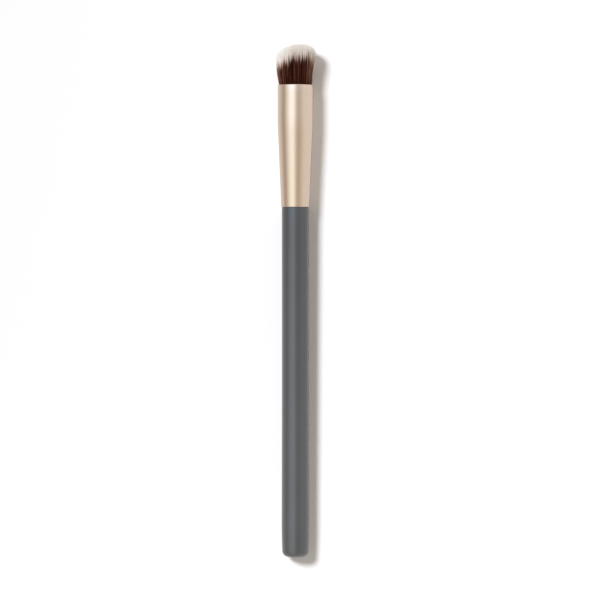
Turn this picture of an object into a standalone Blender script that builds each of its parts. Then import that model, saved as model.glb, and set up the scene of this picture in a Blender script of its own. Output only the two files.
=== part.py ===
"""A concealer brush lying on its side, as three glued-up pieces and the glue and thread that hold them.

A lacquered wooden handle ends in a tenon. A tapered aluminium ferrule covers the tenon and holds a slanted
tuft of two-tone bristles at its other end. Lengths are metres. Every piece is drawn round the brush's own
axis, which runs along +Y from the butt of the handle at 0 to the bristle tips, and one empty then sets the
brush down on the ferrule with its middle over the origin.
"""

import math
import random

import bmesh
import bpy

# The handle, from its butt to the shoulder that meets the ferrule
HANDLE_LENGTH = 0.1047
SHOULDER_RADIUS = 0.00405
SHOULDER_ROUND = 0.00015
SWELL_RADIUS = 0.00409
SWELL_FROM_BUTT = 0.010
WAIST_RADIUS = 0.00402
WAIST_FROM_BUTT = 0.075
BUTT_RIM_RADIUS = 0.00392
BUTT_RIM_HEIGHT = 0.0019
BUTT_FLAT_RADIUS = 0.0018

# The tenon on the end of the handle, thick at its root and turned down for the glue
TENON_LENGTH = 0.013
TENON_SEAT_RADIUS = 0.00366
TENON_SEAT_LENGTH = 0.0040
TENON_NECK_RADIUS = 0.0031
TENON_CHAMFER = 0.0004

# The ferrule, whose straight mouth bends into a long taper
FERRULE_LENGTH = 0.0366
FERRULE_MOUTH_RADIUS = 0.00533
FERRULE_BASE_RADIUS = 0.00427
FERRULE_WALL = 0.0003
FERRULE_LIP_ROUND = 0.0001
BEND_DEPTH = 0.0114
BEND_HALF_LENGTH = 0.0025

# Clearances
SEAM_GAP = 0.0003
GLUE_GAP = 0.0003

# The bristles' roots, set in a slice of resin just inside the mouth, with a thread round them
ROOT_DEPTH = 0.0010
ROOT_SLICE_LENGTH = 0.0085
TIE_FROM_ROOT_FACE = 0.0045
TIE_WIDTH = 0.0012
TIE_THICKNESS = 0.0005

# The glue behind the roots and round the tenon
PLUG_LENGTH = 0.0065
PLUG_DISH_DEPTH = 0.0006
PLUG_DISH_RIM = 0.0005
SLEEVE_LENGTH = 0.0070

# The bristles: heights over the ferrule's lip, and how far the tips spread from the axis each way
STRAND_COUNT = 400
STRAND_ROOT_RADIUS = 0.00020
STRAND_DYE_RADIUS = 0.00021
STRAND_TIP_RADIUS = 0.00009
STRAND_SINK = 0.0005
STRAND_BOW = 0.00010
ROOT_RING_RADIUS = 0.0045
CROWN_HEIGHT = 0.0118
CROWN_ROUNDING = 0.0026
CROWN_SLANT = 0.0013
WHITE_LENGTH = 0.0029
TIP_SCATTER = 0.00025
SPREAD_RIGHT = 0.0058
SPREAD_LEFT = 0.0058
SPREAD_ABOVE = 0.0057
SPREAD_BELOW = 0.0050

# Counts, directions and shares
TURN_STEPS = 32
ROUND_STEPS = 6
BEND_STEPS = 6
NECK_STEPS = 2
WAIST_STEPS = 6
SWELL_STEPS = 4
STRAND_SIDES = 3
SCATTER_SEED = 7
SLANT_DIRECTION = math.radians(38)
GOLDEN_ANGLE = math.pi * (3 - math.sqrt(5))
CROWN_POWER = 3
WELD_DISTANCE = 0.000001

# Places along the axis, measured from the butt
FERRULE_BASE = HANDLE_LENGTH + SEAM_GAP
LIP = FERRULE_BASE + FERRULE_LENGTH
TENON_END = HANDLE_LENGTH + TENON_LENGTH


def clear_scene():
    for old in list(bpy.data.objects):
        bpy.data.objects.remove(old, do_unlink=True)


def new_collection(name):
    collection = bpy.data.collections.new(name)
    bpy.context.scene.collection.children.link(collection)
    return collection


def new_material(name, colour, roughness, metallic=0.0):
    material = bpy.data.materials.new(name)
    material.use_nodes = True
    shader = material.node_tree.nodes["Principled BSDF"]
    shader.inputs["Base Color"].default_value = (*colour, 1.0)
    shader.inputs["Roughness"].default_value = roughness
    shader.inputs["Metallic"].default_value = metallic
    return material


def eased(share):
    """0 to 1 along a path that arrives level."""
    return 1 - (1 - share) ** 2


def arc(centre_radius, centre_y, across, along, start, end):
    """Points (radius, y) of part of an ellipse, with start and end as angles from the outward direction."""
    points = []
    for step in range(ROUND_STEPS + 1):
        angle = start + (end - start) * step / ROUND_STEPS
        points.append((centre_radius + across * math.cos(angle), centre_y + along * math.sin(angle)))
    return points


# The ferrule's outer and inner radius at a depth below its lip
def ferrule_radius(depth):
    slope = (FERRULE_MOUTH_RADIUS - FERRULE_BASE_RADIUS) / (FERRULE_LENGTH - BEND_DEPTH)
    bend_start = BEND_DEPTH - BEND_HALF_LENGTH
    bend_end = BEND_DEPTH + BEND_HALF_LENGTH
    if depth <= bend_start:
        return FERRULE_MOUTH_RADIUS
    if depth < bend_end:
        return FERRULE_MOUTH_RADIUS - slope * (depth - bend_start) ** 2 / (4 * BEND_HALF_LENGTH)
    return FERRULE_MOUTH_RADIUS - slope * (depth - BEND_DEPTH)


def bore_radius(depth):
    return ferrule_radius(depth) - FERRULE_WALL


def depths_between(shallow, deep):
    """The depths where the bore bends, between two depths, with both ends."""
    bend_start = BEND_DEPTH - BEND_HALF_LENGTH
    stations = [bend_start + 2 * BEND_HALF_LENGTH * step / BEND_STEPS for step in range(BEND_STEPS + 1)]
    inside = [depth for depth in stations if shallow < depth < deep]
    return [shallow, *inside, deep]


def fill_outline(shallow, deep):
    """Points down the side of something that fills the bore between two depths, a glue gap inside it."""
    return [(bore_radius(depth) - GLUE_GAP, LIP - depth) for depth in depths_between(shallow, deep)]


def turned(name, outline, materials, collection, closed=False):
    """A piece turned round the Y axis from points (radius, y) that run down its outer side."""
    mesh = bpy.data.meshes.new(name)
    body = bmesh.new()
    corners = [body.verts.new((radius, y, 0)) for radius, y in outline]
    for first, second in zip(corners, corners[1:]):
        body.edges.new((first, second))
    if closed:
        body.edges.new((corners[-1], corners[0]))
    body.to_mesh(mesh)
    body.free()
    for material in materials:
        mesh.materials.append(material)
    piece = bpy.data.objects.new(name, mesh)
    collection.objects.link(piece)
    screw = piece.modifiers.new("turn", "SCREW")
    screw.axis = "Y"
    screw.steps = TURN_STEPS
    screw.render_steps = TURN_STEPS
    screw.use_merge_vertices = True
    screw.merge_threshold = WELD_DISTANCE
    screw.use_smooth_shade = True
    # Half a step of turn puts a flat facet underneath, for the brush to lie on
    piece.rotation_euler.y = math.pi / TURN_STEPS
    return piece


def handle_radius(y):
    """The handle's radius between the rim of its butt and its shoulder."""
    if y < SWELL_FROM_BUTT:
        share = (y - BUTT_RIM_HEIGHT) / (SWELL_FROM_BUTT - BUTT_RIM_HEIGHT)
        return BUTT_RIM_RADIUS + (SWELL_RADIUS - BUTT_RIM_RADIUS) * eased(share)
    if y < WAIST_FROM_BUTT:
        share = (y - SWELL_FROM_BUTT) / (WAIST_FROM_BUTT - SWELL_FROM_BUTT)
        return SWELL_RADIUS + (WAIST_RADIUS - SWELL_RADIUS) * eased(share)
    share = (y - WAIST_FROM_BUTT) / (HANDLE_LENGTH - WAIST_FROM_BUTT)
    return WAIST_RADIUS + (SHOULDER_RADIUS - WAIST_RADIUS) * share


def spaced(first, last, steps):
    return [first + (last - first) * step / steps for step in range(steps + 1)]


def make_handle(collection):
    lacquer = new_material("slate_lacquer", (0.115, 0.125, 0.131), 0.42)
    tenon = [
        (0, TENON_END),
        (TENON_NECK_RADIUS - TENON_CHAMFER, TENON_END),
        (TENON_NECK_RADIUS, TENON_END - TENON_CHAMFER),
        (TENON_NECK_RADIUS, HANDLE_LENGTH + TENON_SEAT_LENGTH + TENON_CHAMFER),
        (TENON_SEAT_RADIUS, HANDLE_LENGTH + TENON_SEAT_LENGTH),
        (TENON_SEAT_RADIUS, HANDLE_LENGTH),
    ]
    round_radius = SHOULDER_RADIUS - SHOULDER_ROUND
    round_y = HANDLE_LENGTH - SHOULDER_ROUND
    shoulder = arc(round_radius, round_y, SHOULDER_ROUND, SHOULDER_ROUND, math.pi / 2, 0)
    side = [
        *spaced(round_y, WAIST_FROM_BUTT, NECK_STEPS)[1:],
        *spaced(WAIST_FROM_BUTT, SWELL_FROM_BUTT, WAIST_STEPS)[1:],
        *spaced(SWELL_FROM_BUTT, BUTT_RIM_HEIGHT, SWELL_STEPS)[1:-1],
    ]
    across = BUTT_RIM_RADIUS - BUTT_FLAT_RADIUS
    butt = arc(BUTT_FLAT_RADIUS, BUTT_RIM_HEIGHT, across, BUTT_RIM_HEIGHT, 0, -math.pi / 2)
    outline = [*tenon, *shoulder, *[(handle_radius(y), y) for y in side], *butt, (0, 0)]
    return turned("handle", outline, [lacquer], collection)


def make_ferrule(collection):
    metal = new_material("champagne_aluminium", (0.80, 0.64, 0.50), 0.28, 1.0)
    lip_centre = ferrule_radius(0) - FERRULE_WALL / 2
    half_wall = FERRULE_WALL / 2
    lip = arc(lip_centre, LIP - FERRULE_LIP_ROUND, half_wall, FERRULE_LIP_ROUND, math.pi, 0)
    outside = [(ferrule_radius(depth), LIP - depth) for depth in depths_between(0, FERRULE_LENGTH)[1:]]
    inside = [(bore_radius(depth), LIP - depth) for depth in depths_between(0, FERRULE_LENGTH)[1:]]
    return turned("ferrule", [*lip, *outside, *reversed(inside)], [metal], collection, closed=True)


def make_tenon_glue(collection):
    glue = new_material("tenon_glue", (0.62, 0.48, 0.28), 0.35)
    inner = TENON_NECK_RADIUS + GLUE_GAP
    shallow = LIP - TENON_END + TENON_CHAMFER
    outer = fill_outline(shallow, shallow + SLEEVE_LENGTH)
    outline = [(inner, outer[0][1]), *outer, (inner, outer[-1][1])]
    return turned("tenon_glue", outline, [glue], collection, closed=True)


def make_glue_plug(collection):
    resin = new_material("plug_resin", (0.42, 0.30, 0.16), 0.30)
    shallow = ROOT_DEPTH + ROOT_SLICE_LENGTH + GLUE_GAP
    side = fill_outline(shallow, shallow + PLUG_LENGTH)
    back_radius, back = side[-1]
    dish = arc(0, back, back_radius - PLUG_DISH_RIM, PLUG_DISH_DEPTH, 0, math.pi / 2)
    return turned("glue_plug", [(0, side[0][1]), *side, *dish], [resin], collection)


def make_root_tie(collection):
    thread = new_material("tie_thread", (0.60, 0.56, 0.48), 0.85)
    middle = ROOT_DEPTH + TIE_FROM_ROOT_FACE
    centre = bore_radius(middle) - GLUE_GAP - TIE_THICKNESS / 2
    half = TIE_THICKNESS / 2
    straight = TIE_WIDTH / 2 - half
    upper = arc(centre, LIP - middle + straight, half, half, math.pi, 0)
    lower = arc(centre, LIP - middle - straight, half, half, 0, -math.pi)
    return turned("root_tie", [*upper, *lower], [thread], collection, closed=True)


# The slice of resin, with a groove where the thread lies
def slice_outline():
    middle = ROOT_DEPTH + TIE_FROM_ROOT_FACE
    half_groove = TIE_WIDTH / 2 + GLUE_GAP
    groove = bore_radius(middle) - 2 * GLUE_GAP - TIE_THICKNESS
    above = fill_outline(ROOT_DEPTH, middle - half_groove)
    below = fill_outline(middle + half_groove, ROOT_DEPTH + ROOT_SLICE_LENGTH)
    return [(0, above[0][1]), *above, (groove, above[-1][1]), (groove, below[0][1]), *below,
            (0, below[-1][1])]


def spread(angle):
    """How far the outermost tips stand from the axis, in a direction from +X towards +Z."""
    across = SPREAD_RIGHT if math.cos(angle) > 0 else SPREAD_LEFT
    upright = SPREAD_ABOVE if math.sin(angle) > 0 else SPREAD_BELOW
    return across * math.cos(angle) ** 2 + upright * math.sin(angle) ** 2


def tip_height(share, angle):
    """The slanted, rounded surface that the tips make, as a height over the lip."""
    slant = CROWN_SLANT * share * math.cos(angle - SLANT_DIRECTION)
    return CROWN_HEIGHT + slant - CROWN_ROUNDING * share ** CROWN_POWER


def strand_stations(index, scatter):
    """The strand's points (x, y, z), each with its radius: in the resin, at the dye's end, and the tip."""
    share = math.sqrt((index + 0.5) / STRAND_COUNT)
    angle = index * GOLDEN_ANGLE
    root_y = -ROOT_DEPTH - STRAND_SINK
    tip_y = tip_height(share, angle) + scatter.uniform(-TIP_SCATTER, TIP_SCATTER)
    dye_y = tip_y - WHITE_LENGTH
    root_out = ROOT_RING_RADIUS * share
    tip_out = spread(angle) * share
    dye_out = root_out + (tip_out - root_out) * (dye_y - root_y) / (tip_y - root_y) + STRAND_BOW * share
    places = [
        (root_out, root_y, STRAND_ROOT_RADIUS),
        (dye_out, dye_y, STRAND_DYE_RADIUS),
        (tip_out, tip_y, STRAND_TIP_RADIUS),
    ]
    return [((out * math.cos(angle), LIP + y, out * math.sin(angle)), radius) for out, y, radius in places]


def all_strands():
    scatter = random.Random(SCATTER_SEED)
    return [strand_stations(index, scatter) for index in range(STRAND_COUNT)]


def section_curve(collection):
    """The strands' three-sided section, one unit from its middle to each corner."""
    curve = bpy.data.curves.new("strand_section", "CURVE")
    curve.dimensions = "2D"
    spline = curve.splines.new("POLY")
    spline.points.add(STRAND_SIDES - 1)
    for corner, point in enumerate(spline.points):
        angle = 2 * math.pi * corner / STRAND_SIDES
        point.co = (math.cos(angle), math.sin(angle), 0, 1)
    spline.use_cyclic_u = True
    section = bpy.data.objects.new("strand_section", curve)
    section.hide_render = True
    section.display_type = "WIRE"
    collection.objects.link(section)
    return section


def make_strands(strands, materials, cutters):
    """The bristles as one mesh of separate strands, drawn as curves and then welded at their caps."""
    curve = bpy.data.curves.new("strands", "CURVE")
    curve.dimensions = "3D"
    curve.render_resolution_u = 0
    curve.bevel_mode = "OBJECT"
    curve.bevel_object = section_curve(cutters)
    curve.use_fill_caps = True
    for stations in strands:
        spline = curve.splines.new("POLY")
        spline.points.add(len(stations) - 1)
        for point, (place, radius) in zip(spline.points, stations):
            point.co = (*place, 1)
            point.radius = radius
    drawn = bpy.data.objects.new("strand_curves", curve)
    cutters.objects.link(drawn)
    evaluated = drawn.evaluated_get(bpy.context.evaluated_depsgraph_get())
    mesh = bpy.data.meshes.new_from_object(evaluated)
    body = bmesh.new()
    body.from_mesh(mesh)
    bmesh.ops.remove_doubles(body, verts=body.verts, dist=WELD_DISTANCE)
    bmesh.ops.recalc_face_normals(body, faces=body.faces)
    body.to_mesh(mesh)
    body.free()
    mesh.materials.clear()
    for material in materials:
        mesh.materials.append(material)
    whole = bpy.data.objects.new("bristle_strands", mesh)
    whole.matrix_world = drawn.matrix_world
    whole.hide_render = True
    whole.display_type = "WIRE"
    cutters.objects.link(whole)
    bpy.data.objects.remove(drawn, do_unlink=True)
    return whole


def colour_tips(mesh):
    """Gives the last stretch of every strand, past its dye, the pale material."""
    for face in mesh.polygons:
        x, y, z = face.center
        share = min(1, math.hypot(x, z) / spread(math.atan2(z, x)))
        limit = LIP + tip_height(share, math.atan2(z, x)) - WHITE_LENGTH - TIP_SCATTER
        face.material_index = 1 if y > limit else 0


def make_tuft(strands, collection, cutters):
    root = new_material("bristle_root", (0.042, 0.012, 0.008), 0.55)
    tip = new_material("bristle_tip", (0.72, 0.64, 0.58), 0.60)
    loose = make_strands(strands, [root, tip], cutters)
    colour_tips(loose.data)
    tuft = turned("bristle_tuft", slice_outline(), [root, tip], collection)
    join = tuft.modifiers.new("fuse strands", "BOOLEAN")
    join.operation = "UNION"
    join.solver = "EXACT"
    join.object = loose
    return [tuft, loose]


def set_down(pieces, strands, collection):
    """Parents the pieces to an empty that lays the ferrule's lowest facet at 0 and centres the length."""
    longest = max(place[1] for stations in strands for place, radius in stations)
    axis = bpy.data.objects.new("brush_axis", None)
    axis.location = (0, -longest / 2, FERRULE_MOUTH_RADIUS * math.cos(math.pi / TURN_STEPS))
    collection.objects.link(axis)
    for piece in pieces:
        piece.parent = axis


def main():
    clear_scene()
    brush = new_collection("concealer_brush")
    cutters = new_collection("cutters")
    strands = all_strands()
    pieces = [
        make_handle(brush),
        make_ferrule(brush),
        make_tenon_glue(brush),
        make_glue_plug(brush),
        make_root_tie(brush),
        *make_tuft(strands, brush, cutters),
    ]
    set_down(pieces, strands, brush)


main()
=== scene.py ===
"""The looks of a concealer brush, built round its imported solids.

The brush lies along +Y with its tips at the high end. Its handle, ferrule and bristles are smooth pieces
that stand for the faceted solids, and the glue and thread inside are the solids themselves with a finish.
"""

import math

import bmesh
import bpy
import numpy as np
from mathutils import Matrix, Vector


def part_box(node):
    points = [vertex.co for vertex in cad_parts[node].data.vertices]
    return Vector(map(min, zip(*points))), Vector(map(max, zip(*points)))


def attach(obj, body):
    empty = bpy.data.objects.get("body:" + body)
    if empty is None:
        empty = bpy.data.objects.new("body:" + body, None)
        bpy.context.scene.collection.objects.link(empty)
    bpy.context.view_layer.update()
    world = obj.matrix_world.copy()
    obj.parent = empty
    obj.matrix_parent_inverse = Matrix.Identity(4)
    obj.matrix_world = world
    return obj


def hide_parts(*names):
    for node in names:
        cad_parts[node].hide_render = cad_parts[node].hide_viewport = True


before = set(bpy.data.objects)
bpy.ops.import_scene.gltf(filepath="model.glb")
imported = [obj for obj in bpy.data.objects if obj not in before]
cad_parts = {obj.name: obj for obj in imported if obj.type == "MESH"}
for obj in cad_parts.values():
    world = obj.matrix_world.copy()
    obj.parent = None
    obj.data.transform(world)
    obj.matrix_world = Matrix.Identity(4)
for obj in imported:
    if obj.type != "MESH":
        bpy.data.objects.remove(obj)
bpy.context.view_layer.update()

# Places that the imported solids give
HANDLE_LOW, HANDLE_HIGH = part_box("handle")
FERRULE_LOW, FERRULE_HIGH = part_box("ferrule")
AXIS_Z = (FERRULE_LOW.z + FERRULE_HIGH.z) / 2
BUTT_Y = HANDLE_LOW.y
TENON_Y = HANDLE_HIGH.y
BASE_Y = FERRULE_LOW.y
LIP_Y = FERRULE_HIGH.y

# The handle
SEAM_GAP = 0.00006
SHOULDER_Y = BASE_Y - SEAM_GAP
SHOULDER_RADIUS = 0.00405
SHOULDER_ROUND = 0.00012
SWELL_RADIUS = 0.00409
SWELL_FROM_BUTT = 0.010
WAIST_RADIUS = 0.00402
WAIST_FROM_BUTT = 0.075
BUTT_RIM_RADIUS = 0.00392
BUTT_RIM_HEIGHT = 0.0019
BUTT_FLAT_RADIUS = 0.0018
TENON_SEAT_RADIUS = 0.00366
TENON_SEAT_LENGTH = 0.0040
TENON_NECK_RADIUS = 0.0031
TENON_CHAMFER = 0.0004

# The ferrule
FERRULE_LENGTH = LIP_Y - BASE_Y
MOUTH_RADIUS = 0.00533
FERRULE_BASE_RADIUS = 0.00427
FERRULE_WALL = 0.0003
FERRULE_EDGE = 0.00005
BEND_DEPTH = 0.0114
BEND_HALF_LENGTH = 0.0025

# The slice of resin that the bristles grow from, grooved for its thread
GLUE_GAP = 0.0003
ROOT_DEPTH = 0.0010
SLICE_LENGTH = 0.0085
TIE_FROM_ROOT_FACE = 0.0045
TIE_WIDTH = 0.0012
TIE_THICKNESS = 0.0005

# The bristles
BRISTLE_COUNT = 9000
BRISTLE_SIDES = 4
BRISTLE_RADIUS = 0.000052
# How thick a bristle still is at the last ring before its point
LAST_RING_SHARE = 0.57
# Heights over the ferrule's lip, each with an outermost bristle's distance from the axis there
LOWER_STATIONS = (
    (-0.0012, 0.00470),
    (0, 0.00489),
    (0.0005, 0.00498),
    (0.0011, 0.00508),
)
# Shares of the height from the last of those to the bristle's tip
UPPER_STATIONS = (0.24, 0.52, 0.76, 0.90, 1.0)

# The slanted dome that the tips make, and how far its rim lies from the axis each way
CROWN_HEIGHT = 0.01193
CROWN_ROUNDING = 0.00235
CROWN_LEAN = 0.0003
CROWN_POWER = 4
CROWN_SLANT = 0.0010
SLANT_DIRECTION = math.radians(38)
SPREAD_RIGHT = 0.00575
SPREAD_LEFT = 0.00594
SPREAD_ABOVE = 0.00545
SPREAD_BELOW = 0.00500

# How the bristles depart from an even dome: tips draw together in locks, and outer ones stray
SEED = 7
GOLDEN_ANGLE = math.pi * (3 - math.sqrt(5))
PLACE_SCATTER_SHARE = 0.30
LOCK_COUNT = 3600
LOCK_PULL_SHARE = 0.12
LOCK_HEIGHT_SCATTER = 0.00006
NEAREST_BATCHES = 10
HEIGHT_SCATTER = 0.00016
TIP_SCATTER = 0.00006
BOW_SCATTER = 0.00005
STRAY_SHARE = 0.012
RIGHT_STRAY_SHARE = 0.038
FARTHEST_STRAY = 3.2
STRAY_POWER = 3
# Bristles at the left lean out early on their way up, and those at the right late
LEFT_FLARE = 0.22
RIGHT_FLARE = 0.70

# The edge of the dye and the shades of brown, both partly in narrow streaks round the tuft
STREAK_COUNT = 180
STREAK_RUN = 2
STREAK_BLUR = 0.3
WHITE_LENGTH = 0.0027
SIDE_WHITE_LENGTH = 0.0012
DYE_SCATTER = 0.00034
STREAK_DYE_SPREAD = 0.0019
RIGHT_LOOSENESS = 0.4
STREAK_SHADE_SHARE = 0.22
# Painted light: browns lighter towards the tuft's flanks, for light through the thin outer bristles, most
# on the right, which the key leaves in shade
PAINTED_FLANK_LIGHT_START = 0.60
LEFT_FLANK_PAINTED_LIGHT = 0.42
RIGHT_FLANK_PAINTED_LIGHT = 1.1

# The bristles' map: a column for each shade, and up it a length of bristle with the edge of its dye halfway
BRISTLE_MAP = "OFBake"
SHADE_COLUMNS = 64
COLUMN_MARGIN = 0.1
MAP_LENGTH = 0.024
DYE_PLACE = 0.5

# The finishes: how much each kind of unevenness counts in them, and the painted light on the handle
CLOUD_SHARE = 0.35
PEEL_SHARE = 0.15
# Painted light: the handle's lacquer grows paler from its shoulder towards its butt, as if lit more there
BUTT_LIGHT_PAINT_SHARE = 0.5
BUTT_LIGHT_PAINT_FULL_Y = BUTT_Y / 2
LINE_SHARE = 0.5
POLISH_LINE_SHARE = 0.6
FUZZ_SHARE = 0.3

# A mix node's sockets for a factor, two colours and its result, by number because their names repeat
MIX_SOCKETS = (0, 6, 7)
MIX_RESULT = 2

# How finely the round pieces are turned, and the steps in each stretch of their outlines
TURN_STEPS = 160
ARC_STEPS = 10
BUTT_STEPS = 10
SIDE_STEPS = 24
NECK_STEPS = 6
MOUTH_STEPS = 4
BEND_STEPS = 16
TAPER_STEPS = 10
SLICE_STEPS = 4
SHARP_ANGLE = math.radians(34)
WELD = 0.000001

# The camera over the middle of the brush, on a long lens, with a square frame
CAMERA_HEIGHT = 1.2
FRAME_WIDTH = 0.18
SENSOR = 36.0
AIM_X = 0.00141
AIM_Y = 0.00013

# The table top, which the brush touches where the ferrule starts to taper and at the handle's swell
FLOOR_HALF = 30.0
FRONT_REST = 0.0101
BACK_REST = 0.0081
TABLE_SEEN = (1.06, 1.06, 1.075)
TABLE_LIT = (0.80, 0.79, 0.78)
TABLE_IN_GLOSS = (0.96, 0.96, 0.97)
# Painted shade: to gloss alone the table's far left is darker, standing in for shade over the far table
# there
TABLE_LEFT_PAINTED_SHADE_IN_GLOSS = (0.72, 0.68, 0.64)
# The distances left of the brush between which the one turns into the other
LEFT_START = 0.012
LEFT_END = 0.05

# The lamps: a soft key from the upper left, and two small ones from the right that cast no shadow
KEY_DIRECTION = Vector((-0.46, 0.385, 0.80))
KEY_ANGLE = math.radians(15.5)
KEY_STRENGTH = 2.55
KEY_COLOUR = (0.97, 1.0, 1.04)
SIDE_LAMP_COLOUR = (1.0, 0.95, 0.88)
SIDE_LAMP_SIZE = 0.08
SIDE_LAMPS = {
    "butt_lamp": (Vector((0.12, -0.22, 0.10)), 0.12),
    "tuft_lamp": (Vector((0.10, 0.12, 0.06)), 0.032),
}

# The world: a warm fill, and for gloss strips of light along the brush, lighter towards its tips
FILL_COLOUR = (0.213, 0.190, 0.169)
# How much lighter gloss gets towards the tips in each colour, between two slopes along the brush
HEAD_GAIN = (1.35, 1.7, 2.8)
HEAD_START = -0.15
HEAD_END = 0.12
STRIP_GAIN = 2.5
UPRIGHT = 0.5
# Degrees from straight up towards the right, each with the colour that gloss shows there
STRIPS = (
    (-180, 1.00, 1.00, 1.00),
    (-110, 0.80, 0.76, 0.72),
    (-95, 0.58, 0.52, 0.47),
    (-76, 0.58, 0.52, 0.47),
    (-60, 0.90, 0.90, 0.88),
    (-45, 1.25, 1.32, 1.36),
    (-30, 1.50, 1.62, 1.72),
    (-13, 1.50, 1.62, 1.72),
    (-3, 1.15, 1.20, 1.22),
    (11, 0.74, 0.70, 0.66),
    (28, 0.66, 0.63, 0.57),
    (46, 0.86, 0.85, 0.82),
    (66, 0.98, 0.98, 0.98),
    (180, 1.00, 1.00, 1.00),
)


def between(share, first, last):
    """What lies at a share of the way from one value to another."""
    return first + (last - first) * share


def spaced(first, last, steps):
    return [between(step / steps, first, last) for step in range(steps + 1)]


def eased(share):
    return 1 - (1 - share) ** 2


def arched(share):
    """0 at both ends and 1 in the middle."""
    return 4 * share * (1 - share)


def grey(level):
    return (level, level, level)


def fill_ramp(ramp, stops):
    """Gives a new ramp its stops, each a place from 0 to 1 and the colour there."""
    while len(ramp.elements) < len(stops):
        ramp.elements.new(1.0)
    for element, (place, colour) in zip(ramp.elements, stops):
        element.position = place
        element.color = (*colour, 1.0)


class Wire:
    """A shader socket that sums, products and quotients can be written on."""

    def __init__(self, graph, socket):
        self.graph = graph
        self.socket = socket

    def __add__(self, other):
        return self.graph.math("ADD", self, other)

    def __mul__(self, other):
        return self.graph.math("MULTIPLY", self, other)

    def __truediv__(self, other):
        return self.graph.math("DIVIDE", self, other)

    __radd__ = __add__
    __rmul__ = __mul__


class Graph:
    """The nodes of a material or of the world."""

    def __init__(self, owner):
        owner.use_nodes = True
        self.tree = owner.node_tree
        self.tree.nodes.clear()

    def node(self, kind, settings=None, sockets=None, output=0):
        """Makes a node: its settings first, then the value or wire of each socket by name or number."""
        made = self.tree.nodes.new(kind)
        for name, value in (settings or {}).items():
            if name == "stops":
                fill_ramp(made.color_ramp, value)
            else:
                setattr(made, name, value)
        for key, value in (sockets or {}).items():
            if isinstance(value, Wire):
                self.tree.links.new(value.socket, made.inputs[key])
            else:
                made.inputs[key].default_value = value
        return Wire(self, made.outputs[output]) if made.outputs else made

    def math(self, operation, *values):
        return self.node("ShaderNodeMath", {"operation": operation}, dict(enumerate(values)))

    def clamped(self, value, low, high):
        return self.math("MINIMUM", self.math("MAXIMUM", value, low), high)

    def rising(self, value, start, end):
        """0 up to the start of a range and 1 from its end on."""
        sockets = {"Value": value, "From Min": start, "From Max": end}
        return self.node("ShaderNodeMapRange", None, sockets)

    def blend(self, factor, first, second):
        """A colour between two others."""
        colours = [value if isinstance(value, Wire) else (*value, 1.0) for value in (first, second)]
        sockets = dict(zip(MIX_SOCKETS, (factor, *colours)))
        return self.node("ShaderNodeMix", {"data_type": "RGBA"}, sockets, MIX_RESULT)

    def vector(self, operation, first, second):
        return self.node("ShaderNodeVectorMath", {"operation": operation}, {0: first, 1: second})

    def scaled(self, colour, factor):
        return self.node("ShaderNodeVectorMath", {"operation": "SCALE"}, {0: colour, "Scale": factor})

    def ramp(self, factor, stops):
        """The colour at a place along a ramp."""
        return self.node("ShaderNodeValToRGB", {"stops": stops}, {0: factor})

    def place(self, scale=(1, 1, 1)):
        """The piece's own coordinates in metres, multiplied by a scale."""
        where = self.node("ShaderNodeTexCoord", output="Object")
        return self.node("ShaderNodeMapping", None, {"Vector": where, "Scale": scale})

    def noise(self, where, scale, detail=2.0):
        sockets = {"Vector": where, "Scale": scale, "Detail": detail}
        return self.node("ShaderNodeTexNoise", None, sockets)

    def bump(self, height, strength, distance):
        sockets = {"Height": height, "Strength": strength, "Distance": distance}
        return self.node("ShaderNodeBump", None, sockets)

    def split(self, vector, part):
        return self.node("ShaderNodeSeparateXYZ", None, {0: vector}, part)

    def seen(self, *kinds):
        """1 on a ray that is one of the kinds named, and 0 on any other."""
        total = sum(self.node("ShaderNodeLightPath", output=f"Is {kind} Ray") for kind in kinds)
        return self.math("MINIMUM", total, 1.0)

    def principled(self, **sockets):
        """A Principled surface, whose sockets are named with underscores."""
        named = {name.replace("_", " "): value for name, value in sockets.items()}
        shader = self.node("ShaderNodeBsdfPrincipled", None, named)
        self.node("ShaderNodeOutputMaterial", None, {"Surface": shader})


def slate_lacquer():
    """Satin slate-grey lacquer, faint orange peel and clouds, a little paler towards its butt as painted
    light.
    """
    material = bpy.data.materials.new("slate_lacquer")
    graph = Graph(material)
    clouds = graph.noise(graph.place((1, 0.4, 1)), scale=240.0, detail=3.0)
    peel = graph.noise(graph.place(), scale=2400.0)
    # Painted light: the lacquer turns paler from the shoulder towards the butt
    painted_butt_light = graph.rising(graph.split(graph.place(), "Y"), SHOULDER_Y, BUTT_LIGHT_PAINT_FULL_Y)
    # The shade mixes the lacquer's real clouds and peel with that painted light
    shade = clouds * CLOUD_SHARE + peel * PEEL_SHARE + painted_butt_light * BUTT_LIGHT_PAINT_SHARE
    graph.principled(
        Base_Color=graph.blend(shade, (0.031, 0.043, 0.051), (0.075, 0.0815, 0.098)),
        Roughness=between(clouds, 0.19, 0.23),
        Specular_IOR_Level=0.95,
        Specular_Tint=(1.0, 0.94, 0.87, 1.0),
        Normal=graph.bump(peel, strength=0.08, distance=0.00002),
    )
    return material


def champagne_aluminium():
    """Satin anodised aluminium with fine lines along the ferrule, where it was drawn and polished."""
    material = bpy.data.materials.new("champagne_aluminium")
    graph = Graph(material)
    lines = graph.noise(graph.place((1, 0.02, 1)), scale=9000.0, detail=3.0)
    clouds = graph.noise(graph.place(), scale=260.0)
    shade = lines * LINE_SHARE + clouds * (1 - LINE_SHARE)
    polish = lines * POLISH_LINE_SHARE + clouds * (1 - POLISH_LINE_SHARE)
    graph.principled(
        Base_Color=graph.blend(shade, (0.640, 0.508, 0.402), (0.700, 0.566, 0.457)),
        Metallic=1.0,
        Roughness=between(polish, 0.15, 0.25),
        Normal=graph.bump(lines, strength=0.10, distance=0.000004),
    )
    return material


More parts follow.
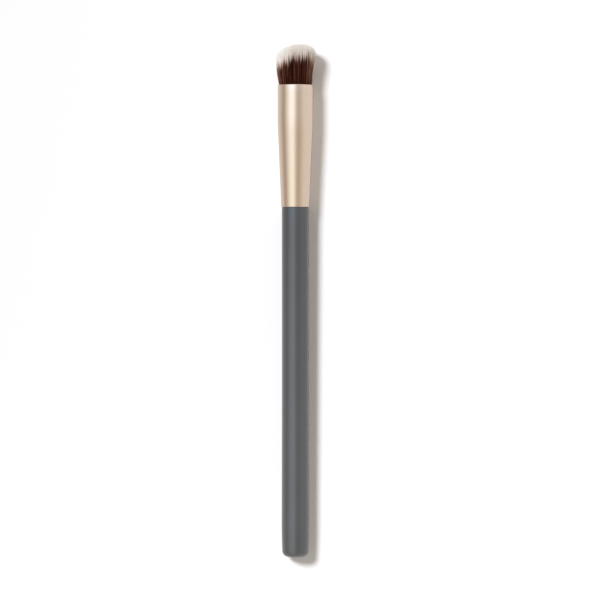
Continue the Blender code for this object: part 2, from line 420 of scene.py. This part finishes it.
def bristle_fibre():
    """Filaments of many browns, drawn to one dark brown near their roots as painted shade, which turn pale
    past the edge of their dye.
    """
    material = bpy.data.materials.new("bristle_fibre")
    graph = Graph(material)
    where = graph.node("ShaderNodeUVMap", {"uv_map": BRISTLE_MAP})
    shade = graph.split(where, "X")
    past_dye = graph.split(where, "Y")
    browns = graph.ramp(shade, [
        (0, (0.012, 0.0013, 0.0004)),
        (0.45, (0.022, 0.0026, 0.0009)),
        (0.75, (0.062, 0.0175, 0.0095)),
        (1, (0.29, 0.135, 0.090)),
    ])
    pales = graph.ramp(past_dye, [
        (0.50, (0.60, 0.42, 0.36)),
        (0.54, (0.74, 0.61, 0.545)),
        (0.565, (0.84, 0.76, 0.70)),
        (0.60, (0.905, 0.88, 0.845)),
        (0.64, (0.955, 0.96, 0.945)),
    ])
    # Painted shade: near the roots every brown is drawn towards one dark brown, as in the shade just above
    # the lip
    painted_root_shade = graph.ramp(past_dye, [(0.14, grey(0.9)), (0.34, grey(0.1))])
    undyed = graph.ramp(past_dye, [(0.46, grey(0)), (0.49, grey(0.10)), (0.54, grey(1))])
    dyed = graph.blend(painted_root_shade, browns, (0.031, 0.0055, 0.0026))
    graph.principled(
        Base_Color=graph.blend(undyed, dyed, pales),
        Roughness=between(shade, 0.40, 0.56),
        Specular_IOR_Level=0.06,
    )
    return material


def set_resin(name, low, high):
    """Cloudy set glue, smooth and a little uneven."""
    material = bpy.data.materials.new(name)
    graph = Graph(material)
    clouds = graph.noise(graph.place(), scale=700.0, detail=4.0)
    graph.principled(
        Base_Color=graph.blend(clouds, low, high),
        Roughness=between(clouds, 0.20, 0.38),
        Normal=graph.bump(clouds, strength=0.4, distance=0.00006),
    )
    return material


def wound_thread():
    """Thread wound closely round, with its turns side by side along the brush."""
    material = bpy.data.materials.new("wound_thread")
    graph = Graph(material)
    bands = {"wave_type": "BANDS", "bands_direction": "Y"}
    turns = graph.node("ShaderNodeTexWave", bands, {"Vector": graph.place(), "Scale": 1600.0}, "Fac")
    fuzz = graph.noise(graph.place(), scale=9000.0)
    shade = turns * (1 - FUZZ_SHARE) + fuzz * FUZZ_SHARE
    graph.principled(
        Base_Color=graph.blend(shade, (0.42, 0.38, 0.31), (0.70, 0.66, 0.57)),
        Roughness=between(fuzz, 0.76, 0.92),
        Normal=graph.bump(turns + fuzz * FUZZ_SHARE, strength=0.6, distance=0.00008),
    )
    return material


def pale_table():
    """A table that is white to the camera, darker in the light it gives on, and with painted shade at its
    left in gloss.
    """
    material = bpy.data.materials.new("pale_table")
    graph = Graph(material)
    # Painted shade in gloss at the table's left
    left = graph.rising(graph.split(graph.place(), "X"), -LEFT_START, -LEFT_END)
    in_gloss = graph.blend(left, TABLE_IN_GLOSS, TABLE_LEFT_PAINTED_SHADE_IN_GLOSS)
    colour = graph.blend(graph.seen("Camera", "Transmission"), TABLE_LIT, TABLE_SEEN)
    colour = graph.blend(graph.seen("Glossy"), colour, in_gloss)
    surface = graph.node("ShaderNodeBsdfDiffuse", None, {"Color": colour})
    graph.node("ShaderNodeOutputMaterial", None, {"Surface": surface})
    return material


def added(name, data):
    """An object in the scene that shows a mesh, a lamp or a camera."""
    thing = bpy.data.objects.new(name, data)
    bpy.context.scene.collection.objects.link(thing)
    return thing


def finished(name, shape, material):
    """Makes an object of a bmesh, smooth but for its sharp edges."""
    mesh = bpy.data.meshes.new(name)
    shape.to_mesh(mesh)
    shape.free()
    mesh.materials.append(material)
    mesh.shade_smooth()
    mesh.set_sharp_from_angle(angle=SHARP_ANGLE)
    return added(name, mesh)


def dress(piece, node):
    """Sets a piece on the brush in place of a solid, which it hides."""
    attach(piece, "root")
    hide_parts(node)


def arc(centre_radius, centre_y, across, along, start, end):
    """Points (radius, y) of part of an ellipse, with its angles from straight outwards."""
    angles = spaced(start, end, ARC_STEPS)
    return [(centre_radius + across * math.cos(a), centre_y + along * math.sin(a)) for a in angles]


def turned(name, outline, material, closed=False):
    """A piece turned round the brush's axis from points (radius, y)."""
    shape = bmesh.new()
    corners = [shape.verts.new((radius, y, AXIS_Z)) for radius, y in outline]
    for first, second in zip(corners, corners[1:]):
        shape.edges.new((first, second))
    if closed:
        shape.edges.new((corners[-1], corners[0]))
    bmesh.ops.spin(
        shape,
        geom=[*shape.verts, *shape.edges],
        cent=(0, 0, AXIS_Z),
        axis=(0, 1, 0),
        angle=math.tau,
        steps=TURN_STEPS,
        use_merge=True,
    )
    bmesh.ops.remove_doubles(shape, verts=shape.verts, dist=WELD)
    bmesh.ops.recalc_face_normals(shape, faces=shape.faces)
    return finished(name, shape, material)


def handle_radius(height):
    """The handle's radius between the rim of its butt and its shoulder."""
    if height < SWELL_FROM_BUTT:
        share = (height - BUTT_RIM_HEIGHT) / (SWELL_FROM_BUTT - BUTT_RIM_HEIGHT)
        return between(eased(share), BUTT_RIM_RADIUS, SWELL_RADIUS)
    if height < WAIST_FROM_BUTT:
        share = (height - SWELL_FROM_BUTT) / (WAIST_FROM_BUTT - SWELL_FROM_BUTT)
        return between(eased(share), SWELL_RADIUS, WAIST_RADIUS)
    share = (height - WAIST_FROM_BUTT) / (SHOULDER_Y - BUTT_Y - WAIST_FROM_BUTT)
    return between(share, WAIST_RADIUS, SHOULDER_RADIUS)


def make_handle():
    """The lacquered handle, from the flat of its butt up to its shoulder and its tenon."""
    across = BUTT_RIM_RADIUS - BUTT_FLAT_RADIUS
    butt = arc(BUTT_FLAT_RADIUS, BUTT_Y + BUTT_RIM_HEIGHT, across, BUTT_RIM_HEIGHT, -math.pi / 2, 0)
    round_y = SHOULDER_Y - SHOULDER_ROUND
    heights = [
        *spaced(BUTT_RIM_HEIGHT, SWELL_FROM_BUTT, BUTT_STEPS)[1:],
        *spaced(SWELL_FROM_BUTT, WAIST_FROM_BUTT, SIDE_STEPS)[1:],
        *spaced(WAIST_FROM_BUTT, round_y - BUTT_Y, NECK_STEPS)[1:-1],
    ]
    side = [(handle_radius(height), BUTT_Y + height) for height in heights]
    round_radius = SHOULDER_RADIUS - SHOULDER_ROUND
    shoulder = arc(round_radius, round_y, SHOULDER_ROUND, SHOULDER_ROUND, 0, math.pi / 2)
    tenon = [
        (TENON_SEAT_RADIUS, SHOULDER_Y),
        (TENON_SEAT_RADIUS, SHOULDER_Y + TENON_SEAT_LENGTH),
        (TENON_NECK_RADIUS, SHOULDER_Y + TENON_SEAT_LENGTH + TENON_CHAMFER),
        (TENON_NECK_RADIUS, TENON_Y - TENON_CHAMFER),
        (TENON_NECK_RADIUS - TENON_CHAMFER, TENON_Y),
        (0, TENON_Y),
    ]
    outline = [(0, BUTT_Y), *butt, *side, *shoulder, *tenon]
    dress(turned("lacquered_handle", outline, slate_lacquer()), "handle")


def ferrule_radius(depth):
    """The ferrule's outer radius at a depth below its lip: straight, then eased into a long taper."""
    slope = (MOUTH_RADIUS - FERRULE_BASE_RADIUS) / (FERRULE_LENGTH - BEND_DEPTH)
    bend_start = BEND_DEPTH - BEND_HALF_LENGTH
    if depth <= bend_start:
        return MOUTH_RADIUS
    if depth < BEND_DEPTH + BEND_HALF_LENGTH:
        return MOUTH_RADIUS - slope * (depth - bend_start) ** 2 / (4 * BEND_HALF_LENGTH)
    return MOUTH_RADIUS - slope * (depth - BEND_DEPTH)


def make_ferrule():
    """The drawn tube, with a rounded lip at its mouth and its edges broken at its base."""
    half = FERRULE_WALL / 2
    lip = arc(MOUTH_RADIUS - half, LIP_Y - half, half, half, math.pi, 0)
    bend_start = BEND_DEPTH - BEND_HALF_LENGTH
    bend_end = BEND_DEPTH + BEND_HALF_LENGTH
    depths = [
        *spaced(half, bend_start, MOUTH_STEPS)[1:],
        *spaced(bend_start, bend_end, BEND_STEPS)[1:],
        *spaced(bend_end, FERRULE_LENGTH - FERRULE_EDGE, TAPER_STEPS)[1:],
    ]
    outside = [(ferrule_radius(depth), LIP_Y - depth) for depth in depths]
    inside = [(ferrule_radius(depth) - FERRULE_WALL, LIP_Y - depth) for depth in reversed(depths)]
    base = ferrule_radius(FERRULE_LENGTH)
    edges = [(base - FERRULE_EDGE, BASE_Y), (base - FERRULE_WALL + FERRULE_EDGE, BASE_Y)]
    tube = turned("drawn_ferrule", [*lip, *outside, *edges, *inside], champagne_aluminium(), closed=True)
    dress(tube, "ferrule")


def make_slice():
    """The slice of resin that holds the bristles' roots just inside the mouth."""
    def side(shallow, deep):
        depths = spaced(shallow, deep, SLICE_STEPS)
        return [(ferrule_radius(depth) - FERRULE_WALL - GLUE_GAP, LIP_Y - depth) for depth in depths]

    middle = ROOT_DEPTH + TIE_FROM_ROOT_FACE
    half_groove = TIE_WIDTH / 2 + GLUE_GAP
    groove = ferrule_radius(middle) - FERRULE_WALL - 2 * GLUE_GAP - TIE_THICKNESS
    above = side(ROOT_DEPTH, middle - half_groove)
    below = side(middle + half_groove, ROOT_DEPTH + SLICE_LENGTH)
    neck = [(groove, above[-1][1]), (groove, below[0][1])]
    outline = [(0, above[0][1]), *above, *neck, *below, (0, below[-1][1])]
    resin = set_resin("root_resin", (0.020, 0.007, 0.005), (0.045, 0.014, 0.010))
    dress(turned("root_slice", outline, resin), "bristle_tuft")


def around(angle):
    """Directions across the brush, at angles from +X towards +Z."""
    return np.stack([np.cos(angle), np.sin(angle)], -1)


def spread(angle):
    """How far the outermost tips stand from the axis in a direction."""
    across = np.where(np.cos(angle) > 0, SPREAD_RIGHT, SPREAD_LEFT)
    upright = np.where(np.sin(angle) > 0, SPREAD_ABOVE, SPREAD_BELOW)
    return across * np.cos(angle) ** 2 + upright * np.sin(angle) ** 2


def dome_height(share, angle):
    """The slanted surface that the tips make, as heights over the lip, rounded most at the left."""
    slant = CROWN_SLANT * share * np.cos(angle - SLANT_DIRECTION)
    rounding = CROWN_ROUNDING - CROWN_LEAN * np.cos(angle)
    return CROWN_HEIGHT + slant - rounding * share ** CROWN_POWER


def placed(count, scatter):
    """Places spread evenly in a disc and scattered a little, as shares of its radius and as angles."""
    index = np.arange(count)
    share = np.sqrt((index + 0.5) / count)
    places = around(index * GOLDEN_ANGLE) * share[:, None]
    places += scatter.normal(0, PLACE_SCATTER_SHARE / math.sqrt(count), places.shape)
    share = np.hypot(*places.T)
    return share / share.max(), np.arctan2(places[:, 1], places[:, 0])


def nearest(places, others):
    """Which of the others lies nearest to each place, worked out in batches to save memory."""
    batches = np.array_split(places, NEAREST_BATCHES)
    return np.concatenate([np.argmin(((batch[:, None] - others) ** 2).sum(-1), 1) for batch in batches])


def streaks(angle, scatter):
    """Values from 0 to 1 in narrow streaks round the tuft, with low and high ones in every short run."""
    runs = np.tile(np.arange(STREAK_RUN), (STREAK_COUNT // STREAK_RUN, 1))
    values = (scatter.permuted(runs, axis=1).ravel() + scatter.uniform(0, 1, STREAK_COUNT)) / STREAK_RUN
    place = (angle / math.tau + 1) * STREAK_COUNT + scatter.normal(0, STREAK_BLUR, len(angle))
    return values[np.floor(place).astype(int) % STREAK_COUNT]


def bristle_tips(share, angle, scatter):
    """Where each bristle's tip stands across the brush, and its height over the lip."""
    lock_share, lock_angle = placed(LOCK_COUNT, scatter)
    lock_tips = around(lock_angle) * (lock_share * spread(lock_angle))[:, None]
    stray = np.minimum(scatter.exponential(1, len(angle)), FARTHEST_STRAY)
    stray *= STRAY_SHARE + RIGHT_STRAY_SHARE * np.maximum(np.cos(angle), 0)
    reach = share * spread(angle) * (1 + stray * share ** STRAY_POWER)
    tips = around(angle) * reach[:, None]
    lock = nearest(tips, lock_tips)
    tips = between(LOCK_PULL_SHARE, tips, lock_tips[lock]) + scatter.normal(0, TIP_SCATTER, tips.shape)
    height = dome_height(share, angle) + scatter.normal(0, HEIGHT_SCATTER, len(angle))
    height += scatter.normal(0, LOCK_HEIGHT_SCATTER, LOCK_COUNT)[lock]
    return tips, height


def bristle_paths(share, angle, tips, height, scatter):
    """Each bristle's stations from its root to its tip, across the brush and along it over the lip."""
    low_heights, low_distances = np.array(LOWER_STATIONS).T
    low_count = len(LOWER_STATIONS)
    lower = around(angle)[:, None] * (share[:, None] * low_distances)[..., None]
    collar = lower[:, -1:]
    rise = np.array([*[0] * low_count, *UPPER_STATIONS])
    flare = np.where(np.cos(angle) > 0, RIGHT_FLARE, LEFT_FLARE) * np.cos(angle)
    outgoing = rise ** (1 + flare)[:, None]
    across = between(outgoing[..., None], collar, tips[:, None])
    across[:, :low_count] = lower
    bow = scatter.normal(0, BOW_SCATTER, tips.shape)
    across += bow[:, None] * arched(rise)[:, None]
    along = between(rise, low_heights[-1], height[:, None])
    along[:, :low_count] = low_heights
    return across, along


def dye_ends(share, angle, height, scatter):
    """The height at which each bristle's dye ends, lower at both sides and looser at the right."""
    rightward = share * np.cos(angle)
    looseness = 1 + RIGHT_LOOSENESS * np.maximum(rightward, 0)
    dye = height - WHITE_LENGTH + scatter.normal(0, DYE_SCATTER, len(angle)) * looseness
    dye -= SIDE_WHITE_LENGTH * np.abs(rightward)
    dye += (streaks(angle, scatter) - 0.5) * STREAK_DYE_SPREAD * looseness
    return dye


def shades(share, angle, scatter):
    """Each bristle's shade from 0 to 1, with painted light that makes it lighter on both flanks of the
    tuft.
    """
    shade = scatter.uniform(0, 1, len(angle)) * (1 - STREAK_SHADE_SHARE)
    shade += streaks(angle, scatter) * STREAK_SHADE_SHARE
    # Painted light on the flanks, more at the right
    sideways = np.abs(share * np.cos(angle))
    painted_flank_light = np.clip((sideways - PAINTED_FLANK_LIGHT_START) / (1 - PAINTED_FLANK_LIGHT_START), 0, 1)
    shade += painted_flank_light * np.where(np.cos(angle) > 0, RIGHT_FLANK_PAINTED_LIGHT, LEFT_FLANK_PAINTED_LIGHT)
    return np.minimum(shade, 1)


def bristle_lines():
    """Every bristle's stations across the brush and along it, its dye's end, its shade and its roll."""
    scatter = np.random.default_rng(SEED)
    share, angle = placed(BRISTLE_COUNT, scatter)
    tips, height = bristle_tips(share, angle, scatter)
    across, along = bristle_paths(share, angle, tips, height, scatter)
    dye = dye_ends(share, angle, height, scatter)
    shade = shades(share, angle, scatter)
    roll = scatter.uniform(0, math.tau, BRISTLE_COUNT)
    return across, along, dye, shade, roll


def straight_bristle(material):
    """One straight bristle, with a radius and steps of 1, closed at its root and run to a point."""
    shape = bmesh.new()
    bmesh.ops.create_circle(shape, cap_ends=True, segments=BRISTLE_SIDES, radius=1.0)
    shape.faces.ensure_lookup_table()
    end = shape.faces[0]
    for _ in range(len(LOWER_STATIONS) + len(UPPER_STATIONS) - 1):
        grown = bmesh.ops.extrude_face_region(shape, geom=[end, *end.edges])["geom"]
        corners = [part for part in grown if isinstance(part, bmesh.types.BMVert)]
        end = next(part for part in grown if isinstance(part, bmesh.types.BMFace))
        bmesh.ops.translate(shape, verts=corners, vec=(0, 0, 1))
    bmesh.ops.pointmerge(shape, verts=corners, merge_co=end.calc_center_median())
    bmesh.ops.recalc_face_normals(shape, faces=shape.faces)
    return finished("bristle", shape, material)


def repeated(piece, name, count):
    """A piece that holds a number of copies of another, all in one place for now."""
    copies = piece.modifiers.new("copies", "ARRAY")
    copies.count = count
    copies.use_relative_offset = False
    copies.use_constant_offset = True
    copies.constant_offset_displace = (0, 0, 0)
    mesh = bpy.data.meshes.new_from_object(piece.evaluated_get(bpy.context.evaluated_depsgraph_get()))
    mesh.name = name
    piece.modifiers.remove(copies)
    return added(name, mesh)


def lay_along(piece, across, along, dye, shade, roll):
    """Bends each copy of the straight bristle along its own line, and maps its shade and its dye."""
    count, stations = along.shape
    mesh = piece.data
    flat = np.empty(len(mesh.vertices) * 3, np.float32)
    mesh.vertices.foreach_get("co", flat)
    unit = flat.reshape(count, -1, 3)[0].astype(float)
    unit_angle = np.arctan2(unit[:, 1], unit[:, 0])
    station = np.rint(unit[:, 2]).astype(int)
    thick = np.ones(stations)
    thick[-2] = LAST_RING_SHARE
    out = np.hypot(unit[:, 0], unit[:, 1]) * BRISTLE_RADIUS * thick[station]
    # Turned the other way round, because swapping y and z mirrors the faces
    turn = roll[:, None] - unit_angle
    places = np.empty((count, len(unit), 3))
    places[..., 0] = across[:, station, 0] + out * np.cos(turn)
    places[..., 1] = LIP_Y + along[:, station]
    places[..., 2] = AXIS_Z + across[:, station, 1] + out * np.sin(turn)
    mesh.vertices.foreach_set("co", places.astype(np.float32).ravel())

    corners = np.empty(len(mesh.loops), np.int32)
    mesh.loops.foreach_get("vertex_index", corners)
    which, point = np.divmod(corners, len(unit))
    side = np.rint(unit_angle * BRISTLE_SIDES / math.tau).astype(int)[point] % 2
    column = np.minimum(np.floor(shade[which] * SHADE_COLUMNS), SHADE_COLUMNS - 1)
    over = (column + between(side, COLUMN_MARGIN, 1 - COLUMN_MARGIN)) / SHADE_COLUMNS
    up = DYE_PLACE + (along[which, station[point]] - dye[which]) / MAP_LENGTH
    places_on_map = np.stack([over, up], -1).astype(np.float32)
    mesh.uv_layers.new(name=BRISTLE_MAP).uv.foreach_set("vector", places_on_map.ravel())
    mesh.shade_smooth()


def make_bristles():
    """The bristles in three pieces, from the middle outwards."""
    single = straight_bristle(bristle_fibre())
    names = ("inner_bristles", "middle_bristles", "outer_bristles")
    lines = [np.array_split(values, len(names)) for values in bristle_lines()]
    for name, *chosen in zip(names, *lines):
        piece = repeated(single, name, len(chosen[0]))
        lay_along(piece, *chosen)
        dress(piece, "bristle_tuft")
    bpy.data.objects.remove(single)


def finish_inner_parts():
    """The glue and thread inside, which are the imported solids."""
    finishes = {
        "root_tie": wound_thread(),
        "glue_plug": set_resin("plug_resin", (0.36, 0.25, 0.12), (0.48, 0.36, 0.21)),
        "tenon_glue": set_resin("tenon_glue", (0.55, 0.42, 0.23), (0.68, 0.55, 0.34)),
    }
    for name, material in finishes.items():
        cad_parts[name].material_slots[0].material = material


def make_floor():
    """The table top, tilted as little as the brush's taper needs to lie on it."""
    front = Vector((0, LIP_Y - FRONT_REST, AXIS_Z - ferrule_radius(FRONT_REST)))
    back = Vector((0, BUTT_Y + BACK_REST, AXIS_Z - handle_radius(BACK_REST)))
    tilt = math.atan2(front.z - back.z, front.y - back.y)
    shape = bmesh.new()
    bmesh.ops.create_grid(shape, x_segments=1, y_segments=1, size=FLOOR_HALF)
    bmesh.ops.rotate(shape, verts=shape.verts, cent=(0, 0, 0), matrix=Matrix.Rotation(tilt, 3, "X"))
    bmesh.ops.translate(shape, verts=shape.verts, vec=(0, 0, front.z - math.tan(tilt) * front.y))
    floor = finished("table_top", shape, pale_table())


def aimed_lamp(name, kind, strength, colour, direction):
    """A lamp that shines from a direction onto the middle of the brush, and doesn't show in gloss."""
    light = bpy.data.lights.new(name, kind)
    light.energy = strength
    light.color = colour
    lamp = added(name, light)
    lamp.rotation_euler = direction.to_track_quat("Z", "Y").to_euler()
    lamp.visible_glossy = False
    return lamp


def make_lamps():
    """The key and the two side lamps."""
    key = aimed_lamp("key", "SUN", KEY_STRENGTH, KEY_COLOUR, KEY_DIRECTION)
    key.data.angle = KEY_ANGLE
    for name, (place, power) in SIDE_LAMPS.items():
        lamp = aimed_lamp(name, "AREA", power, SIDE_LAMP_COLOUR, place)
        lamp.location = place
        lamp.visible_camera = False
        lamp.data.size = SIDE_LAMP_SIZE
        lamp.data.use_shadow = False


def make_world():
    """A world that is white to the camera, a gentle fill in shadows, and strips of light in gloss."""
    world = bpy.data.worlds.new("studio")
    world.cycles.sampling_method = "NONE"
    bpy.context.scene.world = world
    graph = Graph(world)
    towards = graph.node("ShaderNodeTexCoord", output="Generated")
    x, y, z = (graph.split(towards, part) for part in "XYZ")
    tilt = graph.math("ARCTAN2", x, z) / math.tau + UPRIGHT
    # The colours are divided by a gain and multiplied again, because a ramp holds none above 1
    stops = [
        (degrees / 360 + UPRIGHT, [part / STRIP_GAIN for part in colour])
        for degrees, *colour in STRIPS
    ]
    strips = graph.scaled(graph.ramp(tilt, stops), STRIP_GAIN)
    overhead = graph.math("MAXIMUM", z, 0.0) * graph.clamped(y, HEAD_START, HEAD_END)
    head = graph.vector("ADD", graph.scaled(HEAD_GAIN, overhead), (1, 1, 1))
    gloss = graph.vector("MULTIPLY", graph.blend(y * y, strips, (1, 1, 1)), head)
    fill = graph.scaled(FILL_COLOUR, 1 + x * x)
    sky = graph.blend(graph.seen("Camera", "Transmission"), fill, (1, 1, 1))
    level = graph.blend(graph.seen("Glossy"), sky, gloss)
    background = graph.node("ShaderNodeBackground", None, {"Color": level})
    graph.node("ShaderNodeOutputWorld", None, {"Surface": background})


def make_camera():
    camera = bpy.data.cameras.new("camera")
    camera.sensor_width = SENSOR
    camera.lens = SENSOR * CAMERA_HEIGHT / FRAME_WIDTH
    stand = added("camera", camera)
    stand.location = (AIM_X, AIM_Y, AXIS_Z + CAMERA_HEIGHT)
    bpy.context.scene.camera = stand


bpy.context.scene.view_settings.view_transform = "Standard"
make_camera()
make_lamps()
make_world()
make_floor()
make_handle()
make_ferrule()
make_slice()
make_bristles()
finish_inner_parts()
